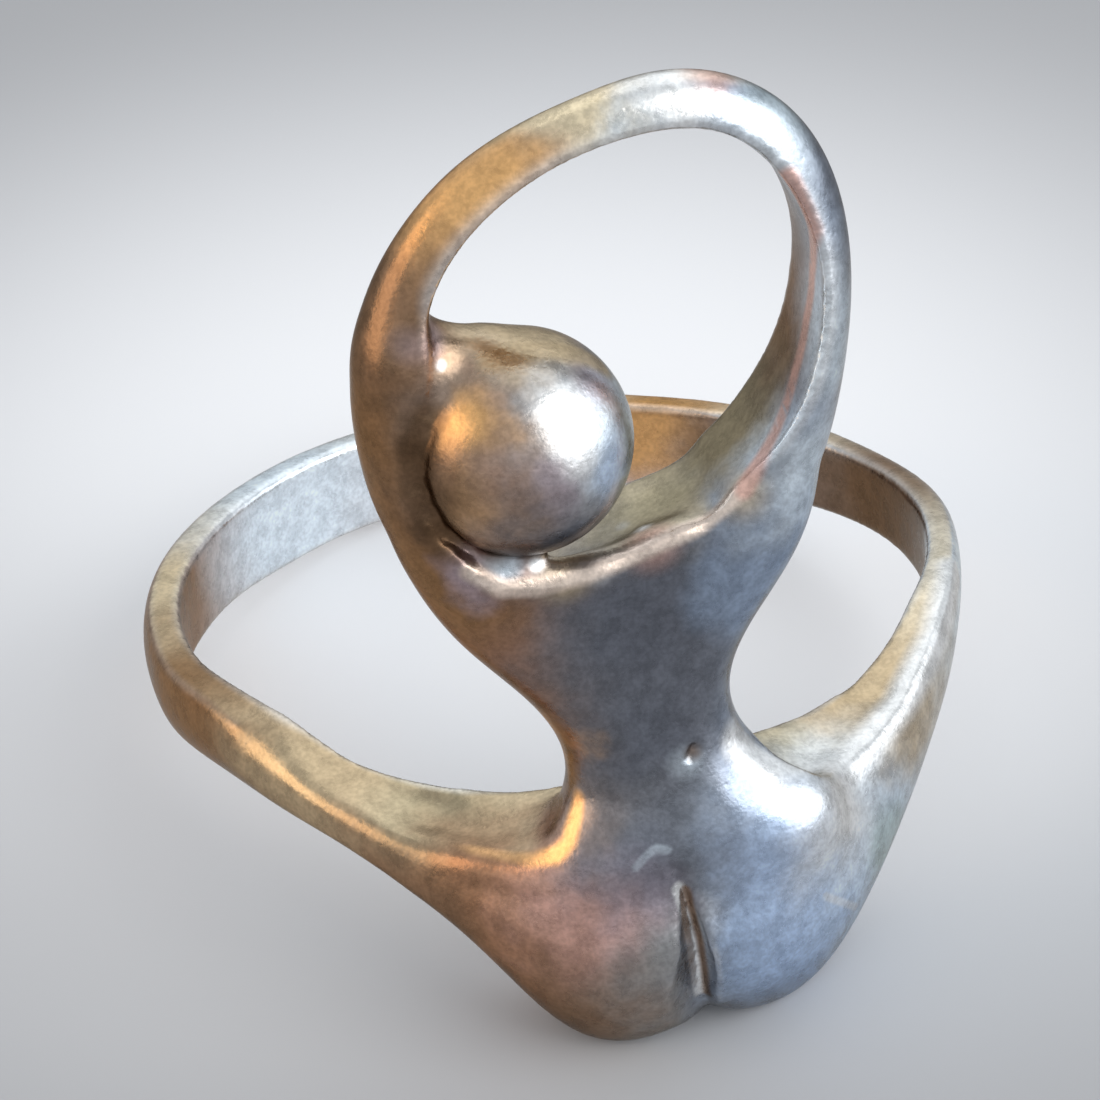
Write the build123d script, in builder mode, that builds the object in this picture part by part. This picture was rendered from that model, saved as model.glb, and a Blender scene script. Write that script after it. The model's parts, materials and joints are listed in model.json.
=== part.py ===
import os
from math import atan2, cos, degrees, hypot, radians, sin

from build123d import *

# A cast and soldered silver thumb ring with an abstract figure at its front.
# All lengths are millimetres. The ring is drawn upright first: the finger's axis is Z, the figure
# stands at -Y, and z = 0 is the top of the band at the back. It is laid down to rest at the end.

# Finger band
finger_radius = 9.9
band_wall = 1.15
band_height = 2.8
band_crest = 1.05
band_lift = 0.1  # how much higher the band's bottom is at the finger than at its lowest edge

# Hips
hip_depth = 4.05
hip_drop = 6.4
hip_lift = 0.6

# Cleft between the lobes
cleft_width = 0.62
cleft_depth = 1.15
cleft_lean = 0.83

# Torso
torso_clearance = 0.15
torso_depth = 3.15
shoulder_height = 9.4
figure_width = 12.0
figure_lean = 1.0

# Arms, which close into a loop above the shoulders
loop_centre_lift = 3.3
loop_centre_side = -0.83
loop_rise = 6.36
loop_fall = 4.7
arm_wall = 1.35
arm_depth = 3.35

# Head, soldered to the left arm
head_radius = 2.69
head_sink = 0.35
head_gap = 0.1
head_clearance = 0.1
solder_radius = 0.8

# How far each form reaches into the next one, so that they join into one solid
overlap = 0.6

# Proportions of the band's section, as shares of how far it stands out from the finger
RIDGE_OUT = {"band": 0.84, "hips": 0.72}
FOOT_OUT = 0.6
BELLY_LEVEL = 0.45  # the widest point's level, a share of the way from the ridge to the bottom

# Proportions of the torso's round sides, as shares of half its depth and of half its width
SIDE_ROUND = 1.1
SIDE_LIMIT = 0.8

# Band and hips, one section for each angle from the middle of the front, turning to the right.
# crest: top edge, a share of band_crest.  height: a share of band_height.
# drop: how far of the way from the band's bottom to the hips' bottom.
# swell: how far of the way from the band's wall to the hips' depth.  fall: slope of the top face.
BAND_SECTIONS = [
    {"angle": 3, "crest": -0.1, "height": 1.0, "drop": 0.88, "swell": 1.02, "fall": 0.15},
    {"angle": 9, "crest": 0.05, "height": 1.0, "drop": 1.0, "swell": 0.98, "fall": 0.15},
    {"angle": 16, "crest": 0.15, "height": 1.0, "drop": 0.99, "swell": 0.84, "fall": 0.15},
    {"angle": 25, "crest": 0.12, "height": 1.0, "drop": 0.76, "swell": 0.58, "fall": 0.18},
    {"angle": 35, "crest": 0.36, "height": 1.0, "drop": 0.33, "swell": 0.32, "fall": 0.28},
    {"angle": 46, "crest": 0.78, "height": 1.0, "drop": 0.0, "swell": 0.13, "fall": 0.3},
    {"angle": 60, "crest": 1.0, "height": 0.68, "drop": 0.0, "swell": 0.0, "fall": 0.1},
    {"angle": 90, "crest": 0.6, "height": 0.62, "drop": 0.0, "swell": -0.05, "fall": 0.05},
    {"angle": 125, "crest": 0.1, "height": 0.86, "drop": 0.0, "swell": 0.0, "fall": 0.1},
    {"angle": 155, "crest": 0.0, "height": 1.0, "drop": 0.0, "swell": 0.04, "fall": 0.1},
    {"angle": 180, "crest": 0.0, "height": 1.04, "drop": 0.0, "swell": 0.0, "fall": 0.1},
    {"angle": 205, "crest": 0.0, "height": 1.08, "drop": 0.0, "swell": 0.0, "fall": 0.1},
    {"angle": 235, "crest": 0.0, "height": 1.0, "drop": 0.0, "swell": 0.0, "fall": 0.05},
    {"angle": 265, "crest": 0.2, "height": 0.84, "drop": 0.0, "swell": 0.0, "fall": 0.05},
    {"angle": 286, "crest": 0.45, "height": 0.66, "drop": 0.0, "swell": 0.02, "fall": 0.1},
    {"angle": 302, "crest": 0.66, "height": 0.6, "drop": 0.0, "swell": 0.08, "fall": 0.35},
    {"angle": 316, "crest": 0.25, "height": 0.67, "drop": 0.0, "swell": 0.24, "fall": 0.48},
    {"angle": 330, "crest": -0.2, "height": 0.96, "drop": 0.03, "swell": 0.48, "fall": 0.4},
    {"angle": 340, "crest": -0.3, "height": 1.0, "drop": 0.54, "swell": 0.79, "fall": 0.22},
    {"angle": 350, "crest": -0.15, "height": 1.0, "drop": 1.0, "swell": 1.06, "fall": 0.15},
]

# Torso, one level section for each height.
# height: a share of shoulder_height.  side: the middle, a share of figure_lean.
# width: a share of figure_width.  depth: a share of torso_depth.
TORSO_SECTIONS = [
    {"height": -0.2, "side": 0.4, "width": 0.406, "depth": 1.14},
    {"height": 0.0, "side": 0.2, "width": 0.498, "depth": 1.11},
    {"height": 0.2, "side": -0.3, "width": 0.378, "depth": 1.03},
    {"height": 0.4, "side": -0.88, "width": 0.452, "depth": 0.99},
    {"height": 0.6, "side": -1.07, "width": 0.664, "depth": 1.0},
    {"height": 0.8, "side": -1.07, "width": 0.83, "depth": 1.04},
    {"height": 1.0, "side": -1.1, "width": 0.9, "depth": 0.98},
]

# Arms, one section for each spoke from the middle of the loop, from the right shoulder to the left.
# outer: a share of the loop's own reach.  wall: a share of arm_wall.  depth: a share of arm_depth.
ARM_SECTIONS = [
    {"spoke": -54, "outer": 1.34, "wall": 1.78, "depth": 0.92},
    {"spoke": -30, "outer": 1.102, "wall": 1.25, "depth": 1.06},
    {"spoke": 0, "outer": 0.976, "wall": 0.82, "depth": 1.0},
    {"spoke": 30, "outer": 1.067, "wall": 0.84, "depth": 0.8},
    {"spoke": 60, "outer": 1.117, "wall": 0.9, "depth": 0.62},
    {"spoke": 90, "outer": 0.985, "wall": 0.82, "depth": 0.56},
    {"spoke": 120, "outer": 0.944, "wall": 0.84, "depth": 0.6},
    {"spoke": 150, "outer": 0.971, "wall": 0.88, "depth": 0.72},
    {"spoke": 180, "outer": 1.018, "wall": 1.04, "depth": 0.92},
    {"spoke": 210, "outer": 1.204, "wall": 1.0, "depth": 1.04},
    {"spoke": 232, "outer": 1.46, "wall": 1.1, "depth": 0.92},
]

# The saddle between the shoulders, where the hole's edge is a share of the loop's own reach
SADDLE_SPOKES = [
    {"spoke": 250, "hole": 1.205},
    {"spoke": 275, "hole": 0.995},
    {"spoke": 300, "hole": 0.908},
]

# The cleft.  height: a share of hip_drop, downwards.  side: a share of cleft_lean, to the right.
# width: a share of cleft_width.  out: the hips' surface there, a share of hip_depth.
# depth: a share of cleft_depth.
CLEFT_SECTIONS = [
    {"height": 0.1, "side": -0.53, "width": 0.15, "out": 0.95, "depth": 0.1},
    {"height": 0.6, "side": 0.23, "width": 0.5, "out": 0.97, "depth": 0.6},
    {"height": 1.1, "side": 0.98, "width": 1.2, "out": 0.62, "depth": 1.2},
]

# Solder between the head and the loop.  turn: degrees from straight up towards the left arm.
# back: towards the finger, a share of head_radius.  size: a share of solder_radius.
SOLDER_SPOTS = [
    {"turn": 45, "back": 0.1, "size": 1.0},
    {"turn": 165, "back": 0.0, "size": 1.2},
]

torso_back = finger_radius + torso_clearance
figure_plane = -(torso_back + torso_depth / 2)
loop_centre = Vector(loop_centre_side, figure_plane, shoulder_height + loop_centre_lift)
band_by_angle = {row["angle"]: row for row in BAND_SECTIONS}
arm_by_spoke = {row["spoke"]: row for row in ARM_SECTIONS}


def between(start, end, share):
    """The value a share of the way from start to end."""
    return start + share * (end - start)


def foot_point(row):
    """The lowest point of a band section: its distance from the finger's axis and its height."""
    out = between(band_wall, hip_depth, row["swell"])
    low = -between(row["height"] * band_height, hip_drop, row["drop"])
    return finger_radius + FOOT_OUT * out, low


def band_section(row):
    """The band's outline on the upright plane through the finger's axis at one angle."""
    turn = radians(row["angle"])
    plane = Plane(origin=(0, 0, 0), x_dir=(sin(turn), -cos(turn), 0), z_dir=(-cos(turn), -sin(turn), 0))
    out = between(band_wall, hip_depth, row["swell"])
    foot = foot_point(row)
    ridge_out = between(RIDGE_OUT["band"], RIDGE_OUT["hips"], row["swell"]) * out
    crest = row["crest"] * band_crest
    ridge = crest - row["fall"] * ridge_out
    belly = between(ridge, foot[1], BELLY_LEVEL)
    lift = between(band_lift, hip_lift, row["swell"])
    lift_slope = lift / (foot[0] - finger_radius)
    inner = finger_radius - overlap
    with BuildSketch(plane) as section:
        with BuildLine():
            start = (inner, foot[1] + lift + lift_slope * overlap)
            top = (inner, crest + row["fall"] * overlap)
            edge = (finger_radius + ridge_out, ridge)
            middle = (finger_radius + out, belly)
            Polyline(foot, start, top, edge)
            ThreePointArc(edge, middle, foot)
        make_face()
    return section.sketch


def torso_section(row):
    """The torso's level outline: flat front and back with round sides."""
    half_width = row["width"] * figure_width / 2
    half_depth = row["depth"] * torso_depth / 2
    round_end = min(half_depth * SIDE_ROUND, half_width * SIDE_LIMIT)
    straight = half_width - round_end
    origin = (row["side"] * figure_lean, -(torso_back + half_depth), row["height"] * shoulder_height)
    with BuildSketch(Plane(origin=origin)) as section:
        with BuildLine():
            Line((-straight, -half_depth), (straight, -half_depth))
            EllipticalCenterArc((straight, 0), round_end, half_depth, start_angle=-90, arc_size=180)
            Line((straight, half_depth), (-straight, half_depth))
            EllipticalCenterArc((-straight, 0), round_end, half_depth, start_angle=90, arc_size=180)
        make_face()
    return section.sketch


def loop_reach(spoke):
    """From the loop's centre to the oval with the loop's width, its rise and its fall."""
    turn = radians(spoke)
    upright = loop_rise if sin(turn) > 0 else loop_fall
    return 1 / hypot(cos(turn) / (figure_width / 2), sin(turn) / upright)


def arm_hole(row):
    """From the loop's centre to the arm's inner face."""
    return row["outer"] * loop_reach(row["spoke"]) - row["wall"] * arm_wall


def arm_section(row):
    """The arm's outline on one spoke: half an oval, whose flat side is later cut back to the hole."""
    turn = radians(row["spoke"])
    plane = Plane(origin=loop_centre, x_dir=(cos(turn), 0, sin(turn)), z_dir=(-sin(turn), 0, cos(turn)))
    centre = (arm_hole(row) - overlap, 0)
    across = row["wall"] * arm_wall + overlap
    half_depth = row["depth"] * arm_depth / 2 / (1 - (overlap / across) ** 2) ** 0.5
    with BuildSketch(plane) as section:
        with BuildLine():
            arc = EllipticalCenterArc(centre, across, half_depth, start_angle=-90, arc_size=180)
            Line(arc @ 1, arc @ 0)
        make_face()
    return section.sketch


def hole_points():
    """The edge of the loop's hole, one point for each spoke, about the loop's centre."""
    edge = [(row["spoke"], arm_hole(row)) for row in ARM_SECTIONS]
    edge += [(row["spoke"], row["hole"] * loop_reach(row["spoke"])) for row in SADDLE_SPOKES]
    return [(reach * cos(radians(spoke)), reach * sin(radians(spoke))) for spoke, reach in edge]


def cleft_section(row):
    """The cleft's level outline, a wedge that points towards the finger."""
    half_width = row["width"] * cleft_width / 2
    depth = row["depth"] * cleft_depth
    side = row["side"] * cleft_lean
    surface = -(finger_radius + row["out"] * hip_depth)
    outside = overlap + depth
    half_mouth = half_width * (outside + depth) / depth
    with BuildSketch(Plane.XY.offset(-row["height"] * hip_drop)) as section:
        with BuildLine():
            left = (side - half_mouth, surface - outside)
            right = (side + half_mouth, surface - outside)
            Polyline(left, right, (side, surface + depth), close=True)
        make_face()
    return section.sketch


def head_place():
    """The head's centre: pressed into the left arm, just above the saddle and clear of the finger."""
    side = loop_centre.X - arm_hole(arm_by_spoke[180]) + head_radius - head_sink
    height = loop_centre.Z - loop_fall + head_gap + head_radius
    reach = finger_radius + head_clearance + head_radius
    return Vector(side, -((reach**2 - side**2) ** 0.5), height)


def solder_place(row):
    """A point on the head's surface, or close behind it."""
    turn = radians(row["turn"])
    return head_place() + Vector(-sin(turn), row["back"], cos(turn)) * head_radius


with BuildPart() as upright:
    band = [band_section(row) for row in BAND_SECTIONS]
    loft(sections=band + band[:1])
    loft(sections=[torso_section(row) for row in TORSO_SECTIONS])
    loft(sections=[arm_section(row) for row in ARM_SECTIONS])

    # The loop's hole runs straight through, and its lower end is the saddle between the shoulders
    with BuildSketch(Plane(origin=loop_centre, x_dir=(1, 0, 0), z_dir=(0, -1, 0))):
        with BuildLine():
            Spline(*hole_points(), periodic=True)
        make_face()
    extrude(amount=arm_depth, both=True, mode=Mode.SUBTRACT)

    # The cleft is a groove that widens and deepens towards the bottom
    loft(sections=[cleft_section(row) for row in CLEFT_SECTIONS], mode=Mode.SUBTRACT)

    # The head and the solder that holds it
    with Locations(head_place()):
        Sphere(head_radius)
    for row in SOLDER_SPOTS:
        with Locations(solder_place(row)):
            Sphere(row["size"] * solder_radius)

    # The finger's hole, cut right through, with its seam at the middle of the back
    Cylinder(finger_radius, 4 * (loop_centre.Z + loop_rise), rotation=(0, 0, 90), mode=Mode.SUBTRACT)

# The ring rests on the hips' two lobes and on the back of the band, so the finger's axis leans back
lobe_reach, lobe_low = foot_point(band_by_angle[9])
back_reach, back_low = foot_point(band_by_angle[180])
rest_tilt = degrees(atan2(back_low - lobe_low, lobe_reach * cos(radians(9)) + back_reach))
laid = upright.part.rotate(Axis.X, -rest_tilt)
box = laid.bounding_box()
laid = laid.translate((-box.center().X, -box.center().Y, -box.min.Z))

with BuildPart() as figure_ring:
    add(laid)

print("solids", len(figure_ring.part.solids()), "volume", round(figure_ring.part.volume, 2))
print("rest tilt", round(rest_tilt, 3), "head", head_place())
os.makedirs("parts", exist_ok=True)
figure_ring.part.label = "figure_ring"
export_step(figure_ring.part, "parts/figure_ring.step")
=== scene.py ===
import json
from math import atan2, cos, radians, sin

import bpy
import numpy as np
import openvdb as vdb
from mathutils import Matrix, Vector


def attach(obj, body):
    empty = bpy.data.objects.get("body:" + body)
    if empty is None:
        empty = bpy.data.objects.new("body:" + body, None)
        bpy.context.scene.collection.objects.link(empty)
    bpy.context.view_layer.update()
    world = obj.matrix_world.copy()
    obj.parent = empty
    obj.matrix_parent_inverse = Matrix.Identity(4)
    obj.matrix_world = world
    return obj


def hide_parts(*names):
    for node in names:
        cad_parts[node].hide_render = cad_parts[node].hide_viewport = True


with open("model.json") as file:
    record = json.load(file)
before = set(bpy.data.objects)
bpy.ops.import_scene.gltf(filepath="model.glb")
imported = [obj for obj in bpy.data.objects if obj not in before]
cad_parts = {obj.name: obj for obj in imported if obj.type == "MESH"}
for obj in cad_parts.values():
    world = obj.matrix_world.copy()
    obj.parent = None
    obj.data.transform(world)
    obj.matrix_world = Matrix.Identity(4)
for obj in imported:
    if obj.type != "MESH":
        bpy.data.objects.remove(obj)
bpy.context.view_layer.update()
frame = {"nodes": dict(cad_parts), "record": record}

# A tarnished silver thumb ring with an abstract figure at its front.
# Places on the ring are millimetres in the upright ring's own frame, as on a jeweller's bench: the
# finger's axis is Z, the figure stands at -Y and z = 0 is the top of the band at the back.
# BAND_CREST is how far the finger hole's upper end stands above that.
MM = 0.001
BAND_CREST = 1.05
finger = frame["record"]["mounts"][0]
FINGER_RADIUS = finger["dims"]["r_mm"]

# The photograph: 1100 pixels each way, with the ring's own origin at RING_PIXEL. The camera's
# distance and its sensor are in mm, and what is nearer than CLIP_START, in metres, doesn't show.
PHOTO_SIZE = 1100
RING_PIXEL = (553.0, 575.3)
PIXELS_PER_MM = 37.425
CAMERA_DISTANCE = 125.0
CAMERA_AZIMUTH = radians(-12)
CAMERA_ELEVATION = radians(29.1)
CAMERA_ROLL = radians(3.84)
SENSOR_WIDTH = 36.0
CLIP_START = 0.01

# The grid on which the metal's surface is worked out: its step, how far from the surface distances
# are kept, and the room around the ring
VOXEL = 0.1
REACH = 1.2
MARGIN = 0.6
MOST_TRIANGLES = 190_000

# Where the cast forms run together: the filled corner's place, how far it reaches and its spread
FILLETS = [
    {"at": (0.4, -12.6, -0.3), "reach": 5.5, "spread": 0.8},
    {"at": (1.7, -11.6, 8.9), "reach": 3.2, "spread": 1.0},
    {"at": (4.2, -11.6, 9.6), "reach": 3.0, "spread": 0.5},
    {"at": (-6.8, -11.8, 8.6), "reach": 3.0, "spread": 0.5},
    {"at": (-4.7, -12.3, 13.2), "reach": 2.2, "spread": 0.4},
]

# How far each edge is softened by wear, how wide the blur is that tells edges from corners, and the
# casting's own unevenness
WEAR = 0.13
EDGE_SPREAD = 0.35
BORE_EDGE = 0.12
LUMP_SEED = 7
LUMP_SIZE = 1.1
LUMP_HEIGHT = 0.015

# Added metal, such as solder: rods from one place to another, their two radii and how far they
# blend in. The two of the cleft fill the solid's own, and GROOVE is cut there instead.
ADDED = [
    {"name": "lap", "start": (-2.1, -12.3, -1.0), "end": (2.9, -12.2, -0.9),
     "radii": (1.1, 1.25), "blend": 1.2},
    {"name": "lap_right", "start": (0.9, -12.2, 0.0), "end": (2.5, -12.2, -0.5),
     "radii": (1.2, 1.1), "blend": 1.0},
    {"name": "web", "start": (-5.5, -11.9, 13.2), "end": (-4.1, -11.8, 12.9),
     "radii": (0.88, 0.68), "blend": 0.9},
    {"name": "web_bead", "start": (-5.1, -12.8, 13.3), "end": (-5.0, -12.8, 13.35),
     "radii": (0.12, 0.1), "blend": 0.1},
    {"name": "rim", "start": (-4.3, -12.95, 7.5), "end": (-1.7, -12.95, 7.4),
     "radii": (0.42, 0.42), "blend": 0.5},
    {"name": "rim_right", "start": (-1.7, -12.95, 7.4), "end": (0.4, -12.9, 7.95),
     "radii": (0.42, 0.36), "blend": 0.5},
    {"name": "ridge_hip", "start": (-3.6, -12.5, -0.85), "end": (-4.95, -11.35, -0.8),
     "radii": (0.4, 0.46), "blend": 0.5},
    {"name": "ridge_near", "start": (-4.95, -11.35, -0.8), "end": (-6.4, -9.75, -0.65),
     "radii": (0.46, 0.44), "blend": 0.5},
    {"name": "ridge_far", "start": (-6.4, -9.75, -0.65), "end": (-8.3, -7.4, 0.0),
     "radii": (0.44, 0.34), "blend": 0.5},
    {"name": "cleft_high", "start": (-0.4, -13.2, -1.0), "end": (0.1, -13.5, -3.0),
     "radii": (0.5, 0.6), "blend": 0.2},
    {"name": "cleft_low", "start": (0.1, -13.5, -3.0), "end": (0.4, -12.9, -4.9),
     "radii": (0.6, 0.6), "blend": 0.2},
    {"name": "pearl", "start": (-3.18, -13.0, 7.92), "end": (-3.18, -13.0, 7.98),
     "radii": (0.18, 0.18), "blend": 0.06},
    {"name": "bead", "start": (-0.45, -12.45, 8.03), "end": (-0.38, -12.4, 8.08),
     "radii": (0.25, 0.22), "blend": 0.12},
    {"name": "bead_behind", "start": (-0.84, -11.7, 7.9), "end": (-0.8, -11.6, 7.95),
     "radii": (0.24, 0.2), "blend": 0.12},
    {"name": "crumb", "start": (-0.95, -11.4, 7.9), "end": (-0.95, -11.35, 7.9),
     "radii": (0.14, 0.14), "blend": 0.08},
    {"name": "crumb_right", "start": (0.02, -11.36, 8.12), "end": (0.05, -11.3, 8.12),
     "radii": (0.14, 0.14), "blend": 0.08},
]

# Hollows filed into the metal before it was worn, cut as rods too
FILED = [
    {"name": "shelf_left_far", "start": (-8.9, -5.8, 1.6), "end": (-7.5, -7.8, 0.95),
     "radii": (1.0, 1.25), "blend": 0.08},
    {"name": "shelf_left", "start": (-7.5, -7.8, 0.95), "end": (-5.6, -9.7, 0.45),
     "radii": (1.25, 1.3), "blend": 0.08},
    {"name": "shelf_left_near", "start": (-5.6, -9.7, 0.45), "end": (-3.85, -11.35, 0.6),
     "radii": (1.3, 1.25), "blend": 0.08},
    {"name": "shelf_right_far", "start": (8.6, -6.05, 2.05), "end": (6.2, -8.85, 1.2),
     "radii": (1.05, 1.3), "blend": 0.08},
    {"name": "shelf_right", "start": (6.2, -8.85, 1.2), "end": (3.6, -11.2, 1.05),
     "radii": (1.3, 1.3), "blend": 0.08},
    {"name": "saddle", "start": (-1.6, -11.6, 8.8), "end": (-0.1, -11.5, 9.35),
     "radii": (1.15, 1.15), "blend": 0.6},
]

# Corners where metal was left after the filing, in the same way as FILLETS
CORNERS = [
    {"at": (-3.1, -10.9, -0.4), "reach": 2.0, "spread": 0.45},
    {"at": (2.6, -10.9, 0.0), "reach": 1.8, "spread": 0.4},
]

# The outer edge beside the left hip, which wear has rounded more than the others
WORN_EDGE = [
    (-3.3, -12.6, -1.0), (-4.9, -11.5, -1.2), (-6.5, -10.0, -1.1), (-8.0, -8.4, -0.7),
    (-9.4, -6.4, -0.1),
]
WORN_REACH = 1.3
WORN_SPREAD = 0.45

# Small marks cut into the worn surface
MARKS = [
    {"name": "pit", "start": (0.27, -13.3, 2.0), "end": (0.4, -13.27, 2.18),
     "radii": (0.17, 0.19), "blend": 0.08},
    {"name": "pit_low", "start": (-1.56, -13.62, 0.66), "end": (-1.52, -13.62, 0.7),
     "radii": (0.12, 0.12), "blend": 0.08},
    {"name": "pit_high", "start": (-0.55, -13.24, 4.47), "end": (-0.55, -13.24, 4.5),
     "radii": (0.1, 0.1), "blend": 0.08},
    {"name": "scratch", "start": (3.6, -13.1, -3.1), "end": (3.95, -12.85, -3.5),
     "radii": (0.08, 0.06), "blend": 0.08},
]

# The crevice between the left arm and the head, from its top down: each place and its radius
CREVICE = [
    ((-5.55, -13.35, 11.9), 0.04), ((-5.85, -13.3, 11.2), 0.1), ((-5.85, -13.25, 10.5), 0.15),
    ((-5.65, -13.3, 9.8), 0.16), ((-5.25, -13.25, 9.1), 0.15), ((-4.7, -13.1, 8.6), 0.1),
]
CREVICE_BLEND = 0.3

# The groove between the hips, from its top down: its level, its deepest line's place and how wide it
# is GROOVE_DEPTH out from there. Its left half is GROOVE_LEAN times as wide as that makes it, and its
# right half as much narrower. GROOVE_ROUND rounds the deepest line. The cut is worked out from
# GROOVE_BEFORE in front of that line to GROOVE_BEHIND behind it, and GROOVE_ROOM further each way.
GROOVE = [
    {"z": -0.7, "x": -0.36, "y": -13.8, "width": 0.04},
    {"z": -1.5, "x": -0.15, "y": -13.7, "width": 0.35},
    {"z": -3.0, "x": 0.08, "y": -13.7, "width": 0.6},
    {"z": -5.0, "x": 0.32, "y": -13.0, "width": 0.75},
    {"z": -7.0, "x": 0.8, "y": -12.0, "width": 0.9},
]
GROOVE_DEPTH = 0.5
GROOVE_BLEND = 0.1
GROOVE_ROUND = 0.12
GROOVE_LEAN = 1.5
GROOVE_BEHIND = 1
GROOVE_BEFORE = 2
GROOVE_ROOM = 1

# How far behind the bore's wall a line that is only inside it still shows, and how fast it ends there
INSIDE_DEPTH = 0.08
INSIDE_FALL = 20.0

# Lines of colour from one place to the next, most of them painted highlights along ridges and rims or
# painted shade in grooves and crevices, a few stains and scuffs: the colour, how far it reaches, how
# much of what is below it hides, and whether it shows only inside the finger's hole
LINES = [
    # Painted highlight: the warm light's glint along the left ridge
    {"name": "ridge_left", "colour": "amber", "reach": 0.36, "hides": 0.9, "line": [
        (-2.5, -12.45, 0.9), (-2.7, -12.8, -0.1), (-3.1, -12.75, -0.4), (-3.7, -12.5, -0.5),
        (-4.9, -11.3, -0.55), (-6.35, -9.7, -0.4), (-7.4, -8.5, -0.1), (-8.4, -7.3, 0.3),
        (-9.2, -6.0, 0.5),
    ]},
    # Painted highlight along the right ridge
    {"name": "ridge_right", "colour": "silver", "reach": 0.8, "hides": 0.95, "line": [
        (1.7, -12.8, 1.9), (2.4, -12.6, 0.6), (4.1, -11.9, -0.5), (4.9, -11.2, -0.3),
        (6.9, -9.2, 0.0), (8.5, -7.3, 0.4), (9.7, -4.8, 0.8),
    ]},
    # Painted highlight along the saddle's front rim
    {"name": "saddle_rim", "colour": "shell", "reach": 0.34, "hides": 0.9, "line": [
        (-4.8, -13.2, 8.1), (-4.1, -13.4, 7.6), (-3.2, -13.4, 7.45), (-2.2, -13.4, 7.55),
        (-0.7, -13.35, 7.9), (0.8, -13.25, 8.3), (1.9, -13.2, 9.0),
    ]},
    # Painted highlight along the right arm's front edge
    {"name": "arm_rim", "colour": "rose", "reach": 0.36, "hides": 0.8, "line": [
        (1.9, -13.2, 9.0), (2.8, -12.75, 10.2), (3.5, -12.25, 11.4), (3.9, -12.05, 12.6),
        (4.05, -12.2, 13.9), (3.9, -12.75, 15.2), (3.4, -12.7, 16.6),
    ]},
    # Painted light on the groove's lit left wall, and painted shade along its deepest line
    {"name": "groove_wall", "colour": "silver", "reach": 0.26, "hides": 0.95, "line": [
        (-0.36, -13.79, -1.3), (-0.25, -13.8, -2.1), (-0.14, -13.81, -2.9), (0.05, -13.47, -3.9),
        (0.24, -13.07, -4.95),
    ]},
    {"name": "groove_line", "colour": "brown", "reach": 0.22, "hides": 0.8, "line": [
        (-0.15, -13.75, -1.4), (0.06, -13.74, -2.2), (0.2, -13.75, -2.95), (0.34, -13.44, -3.9),
        (0.46, -13.04, -5.0),
    ]},
    {"name": "ball_top", "colour": "tan", "reach": 0.55, "hides": 0.8, "line": [
        (-3.8, -12.9, 13.25), (-2.7, -12.9, 13.36), (-1.9, -12.8, 13.1), (-1.2, -12.65, 12.6),
    ]},
    {"name": "inner_right", "colour": "umber", "reach": 2.8, "hides": 0.9, "inside": True, "line": [
        (7.0, 7.0, -1.4), (8.7, 4.7, -1.3), (9.7, 2.0, -1.0), (9.85, -1.0, -0.5),
    ]},
    {"name": "scuff", "colour": "ice", "reach": 0.16, "hides": 0.3, "line": [
        (-1.36, -13.74, -0.53), (-1.09, -13.71, -0.27), (-0.82, -13.68, -0.11),
        (-0.53, -13.71, -0.21),
    ]},
    {"name": "scuff_right", "colour": "silver", "reach": 0.16, "hides": 0.5, "line": [
        (3.54, -13.07, -2.82), (4.09, -12.66, -3.38), (4.64, -12.02, -4.05),
    ]},
    # Painted shade in the valley between the left arm and the head
    {"name": "valley", "colour": "umber", "reach": 0.7, "hides": 0.75, "line": [
        (-5.5, -13.2, 12.2), (-5.9, -13.3, 11.2), (-5.7, -13.3, 9.9), (-5.1, -13.3, 9.0),
        (-4.3, -13.5, 8.4),
    ]},
    {"name": "arm_top", "colour": "khaki", "reach": 0.5, "hides": 0.6, "line": [
        (-3.2, -11.4, 18.3), (-1.8, -11.2, 19.1), (-0.4, -11.0, 19.5),
    ]},
]

# Colours of the tarnish and of the painted highlights, reflections and shade, as the share of red,
# green and blue light that the metal reflects
COLOURS = {
    "silver": (0.86, 0.86, 0.85),
    "ice": (0.75, 0.84, 0.91),
    "azure": (0.52, 0.66, 0.90),
    "steel": (0.36, 0.46, 0.62),
    "pewter": (0.36, 0.35, 0.34),
    "slate": (0.17, 0.18, 0.21),
    "umber": (0.14, 0.08, 0.043),
    "chestnut": (0.33, 0.18, 0.085),
    "ochre": (0.60, 0.31, 0.10),
    "brown": (0.26, 0.155, 0.09),
    "copper": (0.42, 0.22, 0.125),
    "golden": (0.78, 0.44, 0.18),
    "amber": (0.96, 0.54, 0.23),
    "shell": (0.76, 0.62, 0.52),
    "straw": (0.86, 0.71, 0.47),
    "tan": (0.55, 0.42, 0.26),
    "khaki": (0.42, 0.36, 0.23),
    "olive": (0.27, 0.22, 0.14),
    "rose": (0.72, 0.42, 0.34),
    "lilac": (0.52, 0.43, 0.50),
    "teal": (0.40, 0.50, 0.47),
}

# The colour across the whole ring, from its left side to its right: brown tarnish on the left and
# pale blue on the right, which also paints the warm light's reflection on the left and the cool
# light's on the right. Each stop is a share of the way and its colour
ACROSS = [(0.0, "brown"), (0.3, "copper"), (0.46, "pewter"), (0.66, "steel"), (0.88, "ice")]
ACROSS_REACH = 11.0
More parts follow.
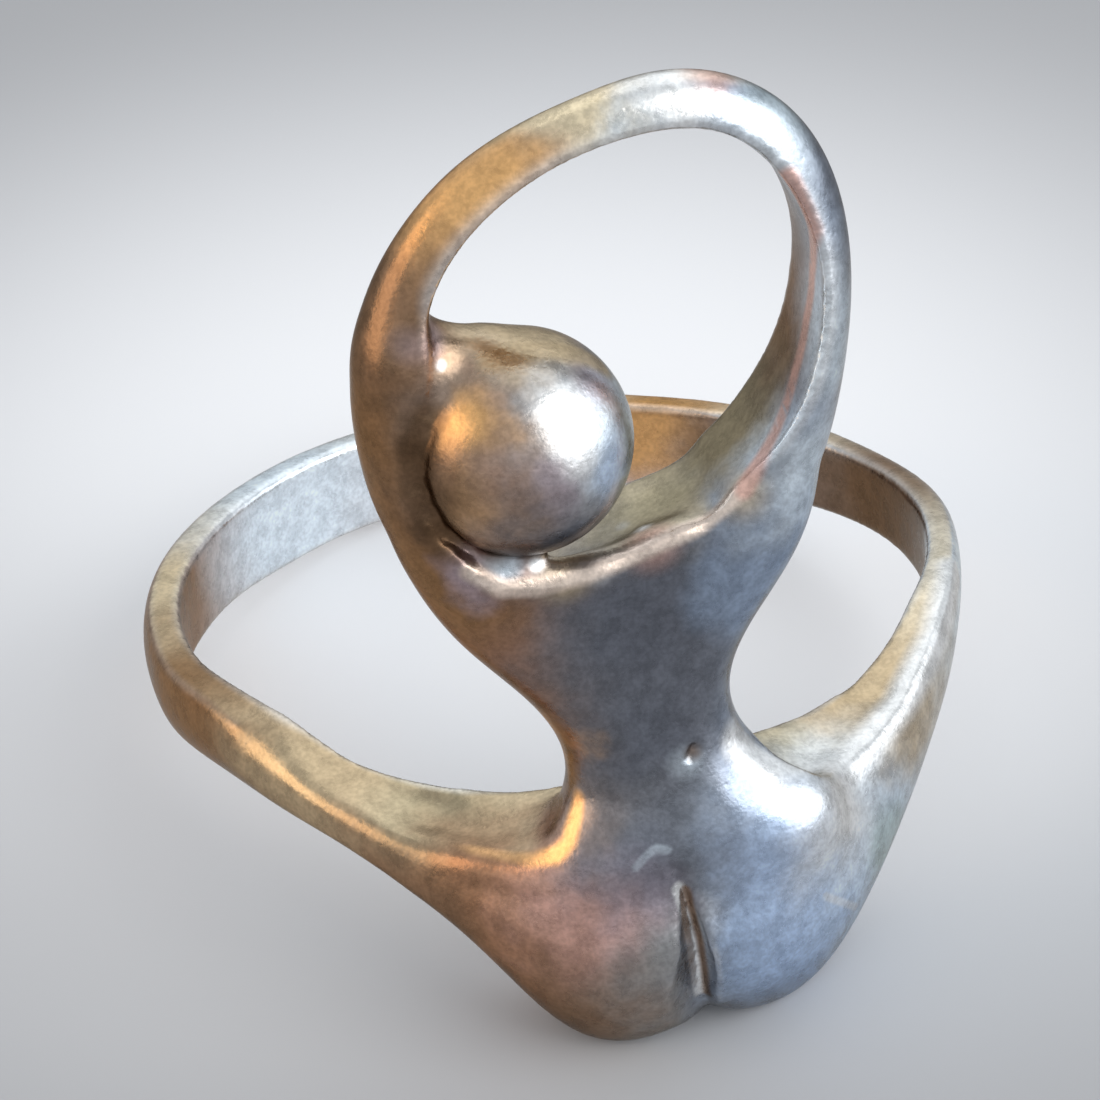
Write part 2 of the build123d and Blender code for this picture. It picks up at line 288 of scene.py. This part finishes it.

# Stains of tarnish and patches of painted highlight, reflection and shade, each laid over those
# before
# it: the colour, the place, how far it reaches and how much of what is below it hides
STAINS_AND_PAINTED_LIGHT = [
    ("chestnut", (-10.8, -3.0, -1.2), 5.5, 0.95),
    ("brown", (-9.0, -7.0, -1.5), 3.0, 0.8),
    ("ice", (-5.3, 8.3, -1.0), 6.5, 0.95),
    ("ochre", (5.2, 8.6, -0.6), 3.6, 0.95),
    ("brown", (9.8, 2.0, -0.8), 5.0, 1.0),
    ("tan", (7.0, -8.2, 0.5), 3.6, 0.95),
    ("tan", (5.2, -9.4, 0.2), 2.4, 0.95),
    ("khaki", (3.0, -10.2, 0.2), 1.8, 0.8),
    ("tan", (-7.6, -6.9, 0.0), 3.6, 1.0),
    ("khaki", (-5.0, -9.8, -0.4), 3.0, 0.95),
    # Pale blue, teal, steel and azure on the right hip: tarnish, with the cool light's reflection
    # painted in
    ("ice", (4.4, -12.4, -1.7), 3.8, 0.95),
    ("teal", (5.8, -11.2, -2.8), 1.5, 0.6),
    ("steel", (1.6, -13.8, -3.9), 3.0, 0.9),
    ("azure", (3.0, -13.3, -3.0), 2.8, 0.7),
    ("azure", (2.0, -13.5, -1.0), 2.2, 0.8),
    ("copper", (-4.7, -12.2, -2.0), 3.8, 0.95),
    ("brown", (-6.2, -11.0, -2.8), 2.6, 0.8),
    ("rose", (-2.9, -13.4, -1.9), 2.2, 0.9),
    ("brown", (-2.9, -12.8, -4.9), 2.6, 0.85),
    ("pewter", (-0.9, -14.1, -3.4), 2.0, 0.7),
    ("slate", (-0.8, -13.3, 5.8), 4.6, 1.0),
    ("slate", (-0.6, -13.3, 2.6), 3.2, 1.0),
    ("slate", (-0.9, -13.7, -0.5), 2.4, 1.0),
    ("steel", (1.6, -13.3, 6.4), 1.8, 0.6),
    ("lilac", (-1.7, -13.9, -1.4), 1.8, 0.4),
    ("golden", (-3.0, -11.9, 2.2), 1.4, 0.9),
    # Painted highlight: silver on the right hip below the waist
    ("silver", (4.1, -12.5, -0.7), 2.6, 0.95),
    ("chestnut", (-5.6, -13.0, 8.0), 2.8, 0.95),
    ("chestnut", (-6.8, -12.3, 11.4), 3.8, 0.95),
    ("brown", (-5.9, -12.3, 14.8), 3.2, 0.9),
    # Painted reflection of the warm light in golden on the left arm's top, and a painted highlight in
    # silver on the loop's top
    ("golden", (-3.8, -12.4, 17.3), 2.8, 1.0),
    ("straw", (-1.2, -12.0, 18.9), 2.0, 0.9),
    ("silver", (0.9, -12.5, 18.8), 1.7, 1.0),
    ("ice", (-0.4, -13.0, 18.1), 1.1, 0.8),
    ("rose", (2.2, -11.6, 19.1), 1.2, 0.75),
    ("teal", (3.7, -12.2, 18.0), 1.3, 0.8),
    ("ice", (3.2, -12.8, 17.2), 2.2, 0.9),
    # Painted shade: slate on the right arm's inner face
    ("slate", (4.0, -10.4, 15.8), 4.2, 1.0),
    ("brown", (3.0, -10.4, 11.8), 4.6, 1.0),
    ("olive", (2.0, -10.8, 9.4), 3.0, 1.0),
    # Painted reflection: pale blue on the right arm's front and below it
    ("ice", (5.2, -14.0, 12.6), 3.2, 0.95),
    ("ice", (3.3, -13.4, 9.0), 2.2, 0.85),
    ("khaki", (0.2, -11.4, 8.2), 2.1, 0.8),
    ("lilac", (-4.8, -13.4, 8.1), 1.1, 0.7),
    ("tan", (-2.6, -13.3, 7.6), 0.9, 0.9),
    ("rose", (-0.4, -13.3, 8.0), 0.9, 0.6),
    ("tan", (1.9, -13.3, 8.9), 0.9, 0.7),
    # The head: pewter, tan and brown tarnish, with painted light: golden glints, a silver highlight
    # with lilac fringes and pale blue to the right where lamps reflect, and painted shade, slate
    # below it and umber in the crevice by the left arm
    ("pewter", (-3.2, -13.2, 11.2), 3.4, 1.0),
    ("tan", (-3.2, -12.4, 13.6), 2.0, 0.8),
    ("brown", (-5.2, -13.4, 11.2), 1.9, 0.85),
    ("golden", (-4.8, -14.0, 12.1), 1.3, 1.0),
    ("ice", (-0.9, -13.8, 11.2), 2.7, 0.9),
    ("azure", (-1.3, -14.1, 10.6), 1.2, 0.6),
    ("golden", (-4.6, -14.3, 9.9), 1.5, 0.5),
    ("lilac", (-3.1, -14.9, 11.0), 1.2, 0.5),
    ("silver", (-2.4, -14.4, 12.3), 1.5, 1.0),
    ("lilac", (-1.5, -13.4, 12.6), 0.9, 0.5),
    ("slate", (-3.0, -14.2, 8.9), 2.4, 0.95),
    ("umber", (-5.3, -13.4, 9.6), 1.5, 0.9),
    ("umber", (-5.8, -13.2, 11.4), 0.7, 0.9),
    ("lilac", (-5.5, -12.4, 13.8), 0.8, 0.8),
    # Painted highlight on the small pearl of solder
    ("ice", (-3.97, -13.2, 8.14), 0.6, 0.9),
    ("silver", (-3.18, -13.1, 7.98), 0.3, 1.0),
    ("ice", (0.15, -13.25, 1.9), 0.6, 0.45),
    ("umber", (0.34, -13.2, 2.09), 0.32, 0.8),
    # Painted highlights on the solder beads and the web's bead
    ("silver", (-0.45, -12.5, 8.1), 0.35, 0.9),
    ("silver", (-0.82, -11.7, 8.0), 0.35, 0.9),
    ("silver", (-5.05, -12.85, 13.35), 0.2, 0.8),
]

# The shares of a stain's or a line's reach at which it starts to fade and where it ends. A stain no
# larger than SMALL_STAIN has no ragged edge.
STAIN_FADES = 0.15
STAIN_ENDS = 1.1
LINE_FADES = 0.3
SMALL_STAIN = 1

# Where the surface faces up, straw paints light from above. On edges, silver is rubbed wear and also
# paints their highlights. In corners, umber is patina and also paints their shade. Each row gives the
# value from which the colour sets in, the value at which it is full, and how much of what is below it
# hides
PAINTED_TOP_LIGHT = {"colour": "straw", "from": 0.75, "to": 0.97, "hides": 0.8}
EDGES_WEAR_AND_HIGHLIGHT = {"colour": "silver", "from": 0.1, "to": 0.19, "hides": 0.6}
HOLLOWS_PATINA_AND_SHADE = {"colour": "umber", "from": -0.06, "to": -0.17, "hides": 0.55}

# How the tarnish breaks up: the size of its ragged edges in mm and how far they stray, and the sizes
# of the mottle, the grain and the spacing of the pits. CLOUDS is the part of the noise's range that
# counts, and the shades are how dark and how light it makes the metal.
RAGGED_SIZE = 2.2
RAGGED_REACH = 1.5
MOTTLE_SIZE = 0.5
GRAIN_SIZE = 0.12
PIT_SIZE = 0.55
PIT_SHARE = 0.16
CLOUDS = (0.3, 0.7)
MOTTLE_SHADES = (0.9, 1.16)
GRAIN_SHADES = (0.9, 1.1)

# The metal's finish, how much of the light that grazes it the tarnish lets through, and the bumps'
# heights in mm
ROUGH_CLOUDS = (0.25, 0.75)
ROUGHNESS = (0.24, 0.34)
GRAZING = (0.65, 0.62, 0.58)
GRAIN_BUMP = {"strength": 0.4, "height": 0.02}
PIT_BUMP = {"strength": 0.2, "height": 0.03}

# The floor in metres, and its paint, which is darker away from the ring, a painted pool of light
# around
# it: from which distance in mm to which, and how much of each direction counts
FLOOR_SIZE = 2
PAINT_MIDDLE = (0.0015, 0.0118, 0.0)
PAINT_SPREAD = (0.55, 0.6, 0.0)
PAINT_FROM = 3
PAINT_TO = 20
PAINT_NEAR = (0.86, 0.86, 0.875)
PAINT_FAR = (0.37, 0.37, 0.38)
PAINT_ROUGHNESS = 0.7
SKY = (0.8, 0.85, 0.9)
SKY_STRENGTH = 0.85

# Square studio lights: where each stands, from the camera's right, up and back, its distance and
# size in metres and its power in watts
LIGHTS = [
    {"name": "key", "towards": (0.66, 0.28, 0.69), "distance": 0.4, "size": 0.32,
     "power": 0.6, "colour": (1.0, 0.98, 0.95)},
    {"name": "side", "towards": (0.95, 0.05, 0.3), "distance": 0.45, "size": 0.5,
     "power": 0.8, "colour": (0.95, 0.97, 1.0)},
    {"name": "warm", "towards": (-0.95, 0.1, 0.3), "distance": 0.4, "size": 0.25,
     "power": 0.3, "colour": (1.0, 0.72, 0.45)},
    {"name": "top", "towards": (0.1, 0.95, 0.1), "distance": 0.5, "size": 0.5,
     "power": 0.35, "colour": (0.95, 0.98, 1.0)},
]

# A Mix node's sockets for colour, which have the same names as those for numbers
MIX_BELOW = 6
MIX_ABOVE = 7
MIX_RESULT = 2


def ring_to_row():
    """The matrix from the upright ring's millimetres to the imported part's frame in metres."""
    axis = Vector(finger["axis"])
    tilt = atan2(axis.y, axis.z)
    top = Vector(finger["pos_m"]) + axis * (finger["dims"]["length_mm"] / 2 - BAND_CREST) * MM
    return Matrix.Translation(top) @ Matrix.Rotation(-tilt, 4, "X") @ Matrix.Scale(MM, 4)


RING = ring_to_row()
TURN = RING.to_3x3().normalized()


def place(point):
    """A point on the ring, in the row frame's millimetres."""
    return np.array((RING @ Vector(point)) / MM, dtype=np.float32)


def smooth_min(first, second, blend):
    """The lower of two distances, rounded where they are within blend of each other."""
    near = np.maximum(blend - np.abs(first - second), 0) / blend
    return np.minimum(first, second) - near * near * blend / 4


def faded(gap, reach):
    """1 within a third of the reach, and eased from there to 0 at its end."""
    share = np.clip(1.5 - 1.5 * gap / reach, 0, 1).astype(np.float32)
    return share * share * (3 - 2 * share)


def line_distance(points, line):
    """How far each point is from a line of straight pieces, in mm."""
    nearest = np.full(len(points), np.inf)
    for start, end in zip(line, line[1:]):
        start, along = place(start), place(end) - place(start)
        share = np.clip((points - start) @ along / (along @ along), 0, 1)
        gap = np.linalg.norm(points - start - share[:, None] * along, axis=1)
        nearest = np.minimum(nearest, gap)
    return nearest


def blurred(field, spread):
    """A field blurred by a Gaussian of that spread in mm."""
    spectrum = np.fft.rfftn(field)
    for axis, count in enumerate(field.shape):
        waves = np.fft.rfftfreq(count, VOXEL) if axis == 2 else np.fft.fftfreq(count, VOXEL)
        fall = np.exp(-2 * (np.pi * spread * waves) ** 2)
        spectrum *= fall.reshape([-1 if axis == other else 1 for other in range(3)])
    return np.fft.irfftn(spectrum, field.shape).astype(np.float32)


class Metal:
    """The distance to the metal's surface at every point of a grid, negative inside, in mm."""

    def __init__(self, cad):
        """Measures the distances from a CAD object's surface."""
        mesh = cad.data
        mesh.calc_loop_triangles()
        points = np.empty((len(mesh.vertices), 3), np.float32)
        mesh.vertices.foreach_get("co", points.ravel())
        corners = np.empty((len(mesh.loop_triangles), 3), np.uint32)
        mesh.loop_triangles.foreach_get("vertices", corners.ravel())
        points /= MM
        self.transform = vdb.createLinearTransform(voxelSize=VOXEL)
        level = vdb.FloatGrid.createLevelSetFromPolygons(
            points, triangles=corners, transform=self.transform, halfWidth=REACH / VOXEL
        )
        self.low = np.floor((points.min(0) - MARGIN) / VOXEL).astype(int)
        size = np.ceil((points.max(0) + MARGIN) / VOXEL).astype(int) - self.low
        self.field = np.empty(size, np.float32)
        level.copyToArray(self.field, ijk=tuple(int(n) for n in self.low))

    def window(self, low, high):
        """The part of the grid between two corners: its slices and the points' coordinates."""
        first = np.clip(np.floor(np.array(low) / VOXEL).astype(int) - self.low, 0, self.field.shape)
        last = np.clip(np.ceil(np.array(high) / VOXEL).astype(int) - self.low, 0, self.field.shape)
        slices = tuple(slice(a, b) for a, b in zip(first, last))
        axes = [(np.arange(a, b) + n) * VOXEL for a, b, n in zip(first, last, self.low)]
        grid = np.meshgrid(*[axis.astype(np.float32) for axis in axes], indexing="ij")
        return slices, np.stack(grid, -1)

    def softened(self, spread):
        """The distances blurred by a Gaussian of that spread in mm, which rounds every edge."""
        return blurred(self.field, spread)

    def fill(self, at, reach, spread):
        """Fills the corners near a place, as molten metal does, and leaves the edges there alone."""
        centre = place(at)
        slices, points = self.window(centre - reach, centre + reach)
        share = faded(np.linalg.norm(points - centre, axis=-1), reach)
        here = self.field[slices]
        filled = np.minimum(here, self.softened(spread)[slices])
        self.field[slices] = here + share * (filled - here)

    def rub(self, line, reach, spread):
        """Rounds the edges near a line, and leaves the corners there alone."""
        corners = np.array([place(point) for point in line])
        slices, points = self.window(corners.min(0) - reach, corners.max(0) + reach)
        gap = line_distance(points.reshape(-1, 3), line).reshape(points.shape[:3])
        here = self.field[slices]
        rubbed = np.maximum(here, self.softened(spread)[slices])
        self.field[slices] = here + faded(gap, reach) * (rubbed - here)

    def rod(self, row):
        """A round rod between two places, whose radius changes evenly: its slices and distances."""
        start, end = place(row["start"]), place(row["end"])
        start_radius, end_radius = row["radii"]
        room = max(row["radii"]) + row["blend"] + VOXEL
        slices, points = self.window(np.minimum(start, end) - room, np.maximum(start, end) + room)
        along = end - start
        share = np.clip((points - start) @ along / (along @ along), 0, 1)
        gap = np.linalg.norm(points - start - share[..., None] * along, axis=-1)
        return slices, gap - start_radius - (end_radius - start_radius) * share

    def join(self, row):
        """Adds a rod of solder, with a fillet about as wide as its blend."""
        slices, shape = self.rod(row)
        self.field[slices] = smooth_min(self.field[slices], shape, row["blend"])

    def cut(self, row):
        """Takes a rod away, with an edge rounded by about its blend."""
        slices, shape = self.rod(row)
        self.field[slices] = -smooth_min(-self.field[slices], shape, row["blend"])

    def ring_points(self, points):
        """The same points in the upright ring's own frame."""
        return (points - place((0, 0, 0))) @ np.array(TURN, dtype=np.float32)

    def groove(self):
        """Cuts the groove between the hips, a wedge whose sharp edge follows GROOVE."""
        sides = (-GROOVE_BEFORE, GROOVE_BEHIND)
        corners = [place((row["x"], row["y"] + side, row["z"])) for row in GROOVE for side in sides]
        low, high = np.min(corners, 0) - GROOVE_ROOM, np.max(corners, 0) + GROOVE_ROOM
        slices, points = self.window(low, high)
        x, y, z = np.moveaxis(self.ring_points(points), -1, 0)
        levels = [row["z"] for row in GROOVE[::-1]]
        columns = [[row[key] for row in GROOVE[::-1]] for key in ("x", "y", "width")]
        deepest_x, deepest_y, width = [np.interp(z, levels, column) for column in columns]
        open_width = width / 2 * (deepest_y - y) / GROOVE_DEPTH
        aside = x - deepest_x
        aside = np.where(aside < 0, aside / GROOVE_LEAN, aside * GROOVE_LEAN)
        wall = np.hypot(aside, GROOVE_ROUND) - GROOVE_ROUND - open_width
        shape = np.maximum(wall, z - GROOVE[0]["z"]).astype(np.float32)
        self.field[slices] = -smooth_min(-self.field[slices], shape, GROOVE_BLEND)

    def bore(self, blend):
        """Takes the finger's hole away."""
        high = (self.low + self.field.shape) * VOXEL
        slices, points = self.window(self.low * VOXEL, high)
        axis = np.array(TURN @ Vector((0, 0, 1)), np.float32)
        spoke = points - place((0, 0, 0))
        spoke -= (spoke @ axis)[..., None] * axis
        outside = np.linalg.norm(spoke, axis=-1) - FINGER_RADIUS
        self.field[slices] = -smooth_min(-self.field[slices], outside, blend)

    def roughen(self, size, height):
        """Makes the surface slightly uneven, as hand-finished castings are."""
        noise = np.random.default_rng(LUMP_SEED).standard_normal(self.field.shape)
        lumps = blurred(noise.astype(np.float32), size)
        self.field += height + lumps * (height / lumps.std())

    def mesh(self, name):
        """The surface as a new mesh."""
        level = vdb.FloatGrid(REACH)
        level.copyFromArray(np.clip(self.field, -REACH, REACH), ijk=tuple(int(n) for n in self.low))
        level.transform = self.transform
        level.prune()
        points, quads = level.convertToQuads(0.0)
        mesh = bpy.data.meshes.new(name)
        mesh.from_pydata((points * MM).tolist(), [], quads.tolist())
        mesh.shade_smooth()
        return mesh

    def sample(self, field, points):
        """A field's value at each point, between the eight grid points around it."""
        where = points / VOXEL - self.low
        base = np.floor(where).astype(int)
        share = where - base
        total = np.zeros(len(points))
        for corner in np.ndindex(2, 2, 2):
            weight = np.prod(np.where(corner, share, 1 - share), axis=1)
            total += weight * field[tuple((base + corner).T)]
        return total


def worn_metal(cad):
    """A CAD object's metal with its solder, filing, wear and marks."""
    metal = Metal(cad)
    for row in FILLETS:
        metal.fill(row["at"], row["reach"], row["spread"])
    for row in ADDED:
        metal.join(row)
    for row in FILED:
        metal.cut(row)
    for row in CORNERS:
        metal.fill(row["at"], row["reach"], row["spread"])
    metal.rub(WORN_EDGE, WORN_REACH, WORN_SPREAD)
    metal.bore(BORE_EDGE)
    metal.field = metal.softened(WEAR)
    metal.roughen(LUMP_SIZE, LUMP_HEIGHT)
    for row in MARKS:
        metal.cut(row)
    for (start, start_radius), (end, end_radius) in zip(CREVICE, CREVICE[1:]):
        radii = (start_radius, end_radius)
        metal.cut({"start": start, "end": end, "radii": radii, "blend": CREVICE_BLEND})
    metal.groove()
    return metal


def thin_out(ring):
    """Takes triangles away from an object that has more than MOST_TRIANGLES."""
    most = MOST_TRIANGLES / (2 * len(ring.data.polygons))
    if most < 1:
        fewer = ring.modifiers.new("fewer", "DECIMATE")
        fewer.ratio = most
        bpy.context.view_layer.objects.active = ring
        bpy.ops.object.modifier_apply(modifier=fewer.name)
    ring.data.shade_smooth()


def mark(mesh, name, values):
    """Gives a mesh a number at every point, for the material to read."""
    mesh.attributes.new(name, "FLOAT", "POINT").data.foreach_set("value", values.astype(np.float32))


def mark_surface(mesh, metal):
    """Marks where a mesh has edges and corners, and how far it is from each of LINES."""
    points = np.empty((len(mesh.vertices), 3))
    mesh.vertices.foreach_get("co", points.ravel())
    points /= MM
    mark(mesh, "edge", metal.sample(metal.softened(EDGE_SPREAD) - metal.field, points))
    spokes = metal.ring_points(points)[:, :2]
    off_bore = np.maximum(np.linalg.norm(spokes, axis=1) - FINGER_RADIUS - INSIDE_DEPTH, 0)
    for row in LINES:
        gaps = line_distance(points, row["line"])
        if row.get("inside"):
            gaps += off_bore * INSIDE_FALL
        mark(mesh, row["name"], gaps)


def add(tree, kind, inputs, **settings):
    """Adds a shader node, whose inputs are constants or other nodes' outputs."""
    node = tree.nodes.new("ShaderNode" + kind)
    for name, value in settings.items():
        setattr(node, name, value)
    for name, value in inputs.items():
        if isinstance(value, bpy.types.NodeSocket):
            tree.links.new(value, node.inputs[name])
        else:
            node.inputs[name].default_value = value
    return node


def mixed(tree, share, below, above, blend_type="MIX"):
    """One colour over another."""
    below = below if isinstance(below, bpy.types.NodeSocket) else (*below, 1)
    above = above if isinstance(above, bpy.types.NodeSocket) else (*above, 1)
    inputs = {"Factor": share, MIX_BELOW: below, MIX_ABOVE: above}
    node = add(tree, "Mix", inputs, data_type="RGBA", blend_type=blend_type)
    return node.outputs[MIX_RESULT]


def ranged(tree, value, low, high, to_low=0.0, to_high=1.0):
    """A value eased from one range into another."""
    inputs = {"Value": value, "From Min": low, "From Max": high, "To Min": to_low, "To Max": to_high}
    return add(tree, "MapRange", inputs, interpolation_type="SMOOTHSTEP").outputs["Result"]


def noise(tree, where, size, detail):
    """Cloudy noise whose patches are about that many mm across."""
    inputs = {"Vector": where, "Scale": 1 / size, "Detail": detail}
    return add(tree, "TexNoise", inputs)


def vector(tree, operation, first, second):
    """Two vectors put together by an operation, whose result is a vector or a number."""
    second_name = "Scale" if operation == "SCALE" else 1
    node = add(tree, "VectorMath", {0: first, second_name: second}, operation=operation)
    return node.outputs["Value" if operation in ("DOT_PRODUCT", "DISTANCE") else "Vector"]


def laid_over(tree, colour, value, row):
    """A colour of PAINTED_TOP_LIGHT, EDGES_WEAR_AND_HIGHLIGHT or HOLLOWS_PATINA_AND_SHADE over the one below, where the value calls for it."""
    share = ranged(tree, value, row["from"], row["to"], 0.0, row["hides"])
    return mixed(tree, share, colour, COLOURS[row["colour"]])


def tarnish_and_reflection_across(tree, ragged):
    """The colour across the whole ring: tarnish, with a painted warm reflection on the left and a
    cool one on the right.
    """
    side = vector(tree, "SUBTRACT", ragged, place((0, 0, 0)))
    side = vector(tree, "DOT_PRODUCT", side, TURN @ Vector((1, 0, 0)))
    side = add(tree, "MapRange", {"Value": side, "From Min": -ACROSS_REACH, "From Max": ACROSS_REACH})
    across = add(tree, "ValToRGB", {"Fac": side.outputs["Result"]})
    stops = across.color_ramp.elements
    while len(stops) < len(ACROSS):
        stops.new(1.0)
    for stop, (share, name) in zip(stops, ACROSS):
        stop.position = share
        stop.color = (*COLOURS[name], 1)
    return across.outputs["Color"]


def bumped(tree, height, row, inputs):
    """The surface's direction after a bump of that many mm."""
    sizes = {"Strength": row["strength"], "Distance": row["height"] * MM}
    return add(tree, "Bump", {"Height": height, **sizes, **inputs}).outputs[0]


def tarnished_silver_with_painted_light():
    """Hand-finished silver, dark where it is tarnished and bright where it is rubbed, with painted
    highlights, reflections and shade in its colour.
    """
    material = bpy.data.materials.new("tarnished_silver_with_painted_light")
    material.use_nodes = True
    tree = material.node_tree
    shader = tree.nodes["Principled BSDF"]
    shader.inputs["Metallic"].default_value = 1
    shader.inputs["Specular Tint"].default_value = (*GRAZING, 1)
    local = add(tree, "TexCoord", {}).outputs["Object"]
    where = vector(tree, "SCALE", local, 1 / MM)
    cloud = noise(tree, where, RAGGED_SIZE, detail=4).outputs["Color"]
    stray = vector(tree, "SUBTRACT", cloud, (0.5, 0.5, 0.5))
    stray = vector(tree, "SCALE", stray, 2 * RAGGED_REACH)
    ragged = vector(tree, "ADD", where, stray)

    # Brown tarnish on the left and pale blue on the right, with the warm and cool reflections painted
    # in
    colour = tarnish_and_reflection_across(tree, ragged)
    normal = add(tree, "NewGeometry", {}).outputs["Normal"]
    rise = vector(tree, "DOT_PRODUCT", normal, TURN @ Vector((0, 0, 1)))
    # Painted light from above: straw on the faces that look up
    colour = laid_over(tree, colour, rise, PAINTED_TOP_LIGHT)
    # Stains of tarnish, and patches of painted highlight, reflection and shade
    for name, at, reach, hides in STAINS_AND_PAINTED_LIGHT:
        spot = ragged if reach > SMALL_STAIN else where
        gap = vector(tree, "DISTANCE", spot, place(at))
        share = ranged(tree, gap, STAIN_FADES * reach, STAIN_ENDS * reach, hides, 0.0)
        colour = mixed(tree, share, colour, COLOURS[name])
    edge = add(tree, "Attribute", {}, attribute_name="edge").outputs["Fac"]
    # Silver on edges is rubbed wear and a painted highlight; umber in hollows is patina and painted
    # shade
    colour = laid_over(tree, colour, edge, EDGES_WEAR_AND_HIGHLIGHT)
    colour = laid_over(tree, colour, edge, HOLLOWS_PATINA_AND_SHADE)
    # Lines of painted highlight and shade, and a few stains and scuffs
    for row in LINES:
        gap = add(tree, "Attribute", {}, attribute_name=row["name"]).outputs["Fac"]
        share = ranged(tree, gap, LINE_FADES * row["reach"], row["reach"], row["hides"], 0.0)
        colour = mixed(tree, share, colour, COLOURS[row["colour"]])

    mottle = noise(tree, where, MOTTLE_SIZE, detail=5).outputs["Fac"]
    grain = noise(tree, where, GRAIN_SIZE, detail=3).outputs["Fac"]
    mottled = ranged(tree, mottle, *CLOUDS, *MOTTLE_SHADES)
    grained = ranged(tree, grain, *CLOUDS, *GRAIN_SHADES)
    shade = add(tree, "Math", {0: mottled, 1: grained}, operation="MULTIPLY").outputs[0]
    grey = add(tree, "CombineColor", {0: shade, 1: shade, 2: shade}).outputs[0]
    colour = mixed(tree, 1.0, colour, grey, "MULTIPLY")
    tree.links.new(colour, shader.inputs["Base Color"])

    roughness = ranged(tree, mottle, *ROUGH_CLOUDS, *ROUGHNESS)
    tree.links.new(roughness, shader.inputs["Roughness"])
    pits = add(tree, "TexVoronoi", {"Vector": where, "Scale": 1 / PIT_SIZE}).outputs["Distance"]
    pitted = ranged(tree, pits, 0.0, PIT_SHARE)
    normal = bumped(tree, grain, GRAIN_BUMP, {})
    normal = bumped(tree, pitted, PIT_BUMP, {"Normal": normal})
    tree.links.new(normal, shader.inputs["Normal"])
    return material


def floor_paint_with_painted_light():
    """Pale paint that is darker away from the ring: a painted pool of light around it."""
    material = bpy.data.materials.new("floor_paint_with_painted_light")
    material.use_nodes = True
    tree = material.node_tree
    shader = tree.nodes["Principled BSDF"]
    local = add(tree, "TexCoord", {}).outputs["Object"]
    gap = vector(tree, "SUBTRACT", local, PAINT_MIDDLE)
    gap = vector(tree, "MULTIPLY", gap, PAINT_SPREAD)
    gap = add(tree, "VectorMath", {0: gap}, operation="LENGTH").outputs["Value"]
    # Painted pool of light: pale near the ring, darker away from it
    paint = mixed(tree, ranged(tree, gap, PAINT_FROM * MM, PAINT_TO * MM), PAINT_NEAR, PAINT_FAR)
    tree.links.new(paint, shader.inputs["Base Color"])
    shader.inputs["Roughness"].default_value = PAINT_ROUGHNESS
    return material


def add_light(row, target, axes):
    """A square studio light that faces the target."""
    light = bpy.data.lights.new(row["name"], "AREA")
    light.size = row["size"]
    light.energy = row["power"]
    light.color = row["colour"]
    lamp = bpy.data.objects.new(row["name"], light)
    towards = sum((axis * share for axis, share in zip(axes, row["towards"])), Vector())
    towards.normalize()
    lamp.location = target + towards * row["distance"]
    lamp.rotation_euler = towards.to_track_quat("Z", "Y").to_euler()
    bpy.context.scene.collection.objects.link(lamp)


# Ring
metal = worn_metal(frame["nodes"]["figure_ring"])
silver_ring = bpy.data.objects.new("silver_ring", metal.mesh("silver_ring"))
bpy.context.scene.collection.objects.link(silver_ring)
thin_out(silver_ring)
mark_surface(silver_ring.data, metal)
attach(silver_ring, "root")
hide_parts("figure_ring")
silver_ring.data.materials.append(tarnished_silver_with_painted_light())

# Camera
back = TURN @ Vector((
    sin(CAMERA_AZIMUTH) * cos(CAMERA_ELEVATION),
    -cos(CAMERA_AZIMUTH) * cos(CAMERA_ELEVATION),
    sin(CAMERA_ELEVATION),
))
right = TURN @ Vector((cos(CAMERA_AZIMUTH), sin(CAMERA_AZIMUTH), 0))
up = back.cross(right)
image_right = right * cos(CAMERA_ROLL) - up * sin(CAMERA_ROLL)
image_up = right * sin(CAMERA_ROLL) + up * cos(CAMERA_ROLL)
middle = PHOTO_SIZE / 2
aim_right = (middle - RING_PIXEL[0]) / PIXELS_PER_MM * MM
aim_up = (RING_PIXEL[1] - middle) / PIXELS_PER_MM * MM
target = RING.translation + image_right * aim_right + image_up * aim_up
camera_data = bpy.data.cameras.new("camera")
camera_data.sensor_width = SENSOR_WIDTH
camera_data.lens = PIXELS_PER_MM * CAMERA_DISTANCE / PHOTO_SIZE * SENSOR_WIDTH
camera_data.clip_start = CLIP_START
camera = bpy.data.objects.new("camera", camera_data)
rows = Matrix((image_right, image_up, back)).transposed().to_4x4()
camera.matrix_world = Matrix.Translation(target + back * CAMERA_DISTANCE * MM) @ rows
bpy.context.scene.collection.objects.link(camera)
bpy.context.scene.camera = camera

# Floor, sky and lights
bpy.ops.mesh.primitive_plane_add(size=FLOOR_SIZE)
floor = bpy.context.object
floor.name = "floor"
floor.data.materials.append(floor_paint_with_painted_light())
world = bpy.data.worlds.new("world")
bpy.context.scene.world = world
world.use_nodes = True
sky = world.node_tree.nodes["Background"]
sky.inputs["Color"].default_value = (*SKY, 1)
sky.inputs["Strength"].default_value = SKY_STRENGTH
bpy.context.scene.view_settings.view_transform = "Standard"
for row in LIGHTS:
    add_light(row, target, (image_right, image_up, back))
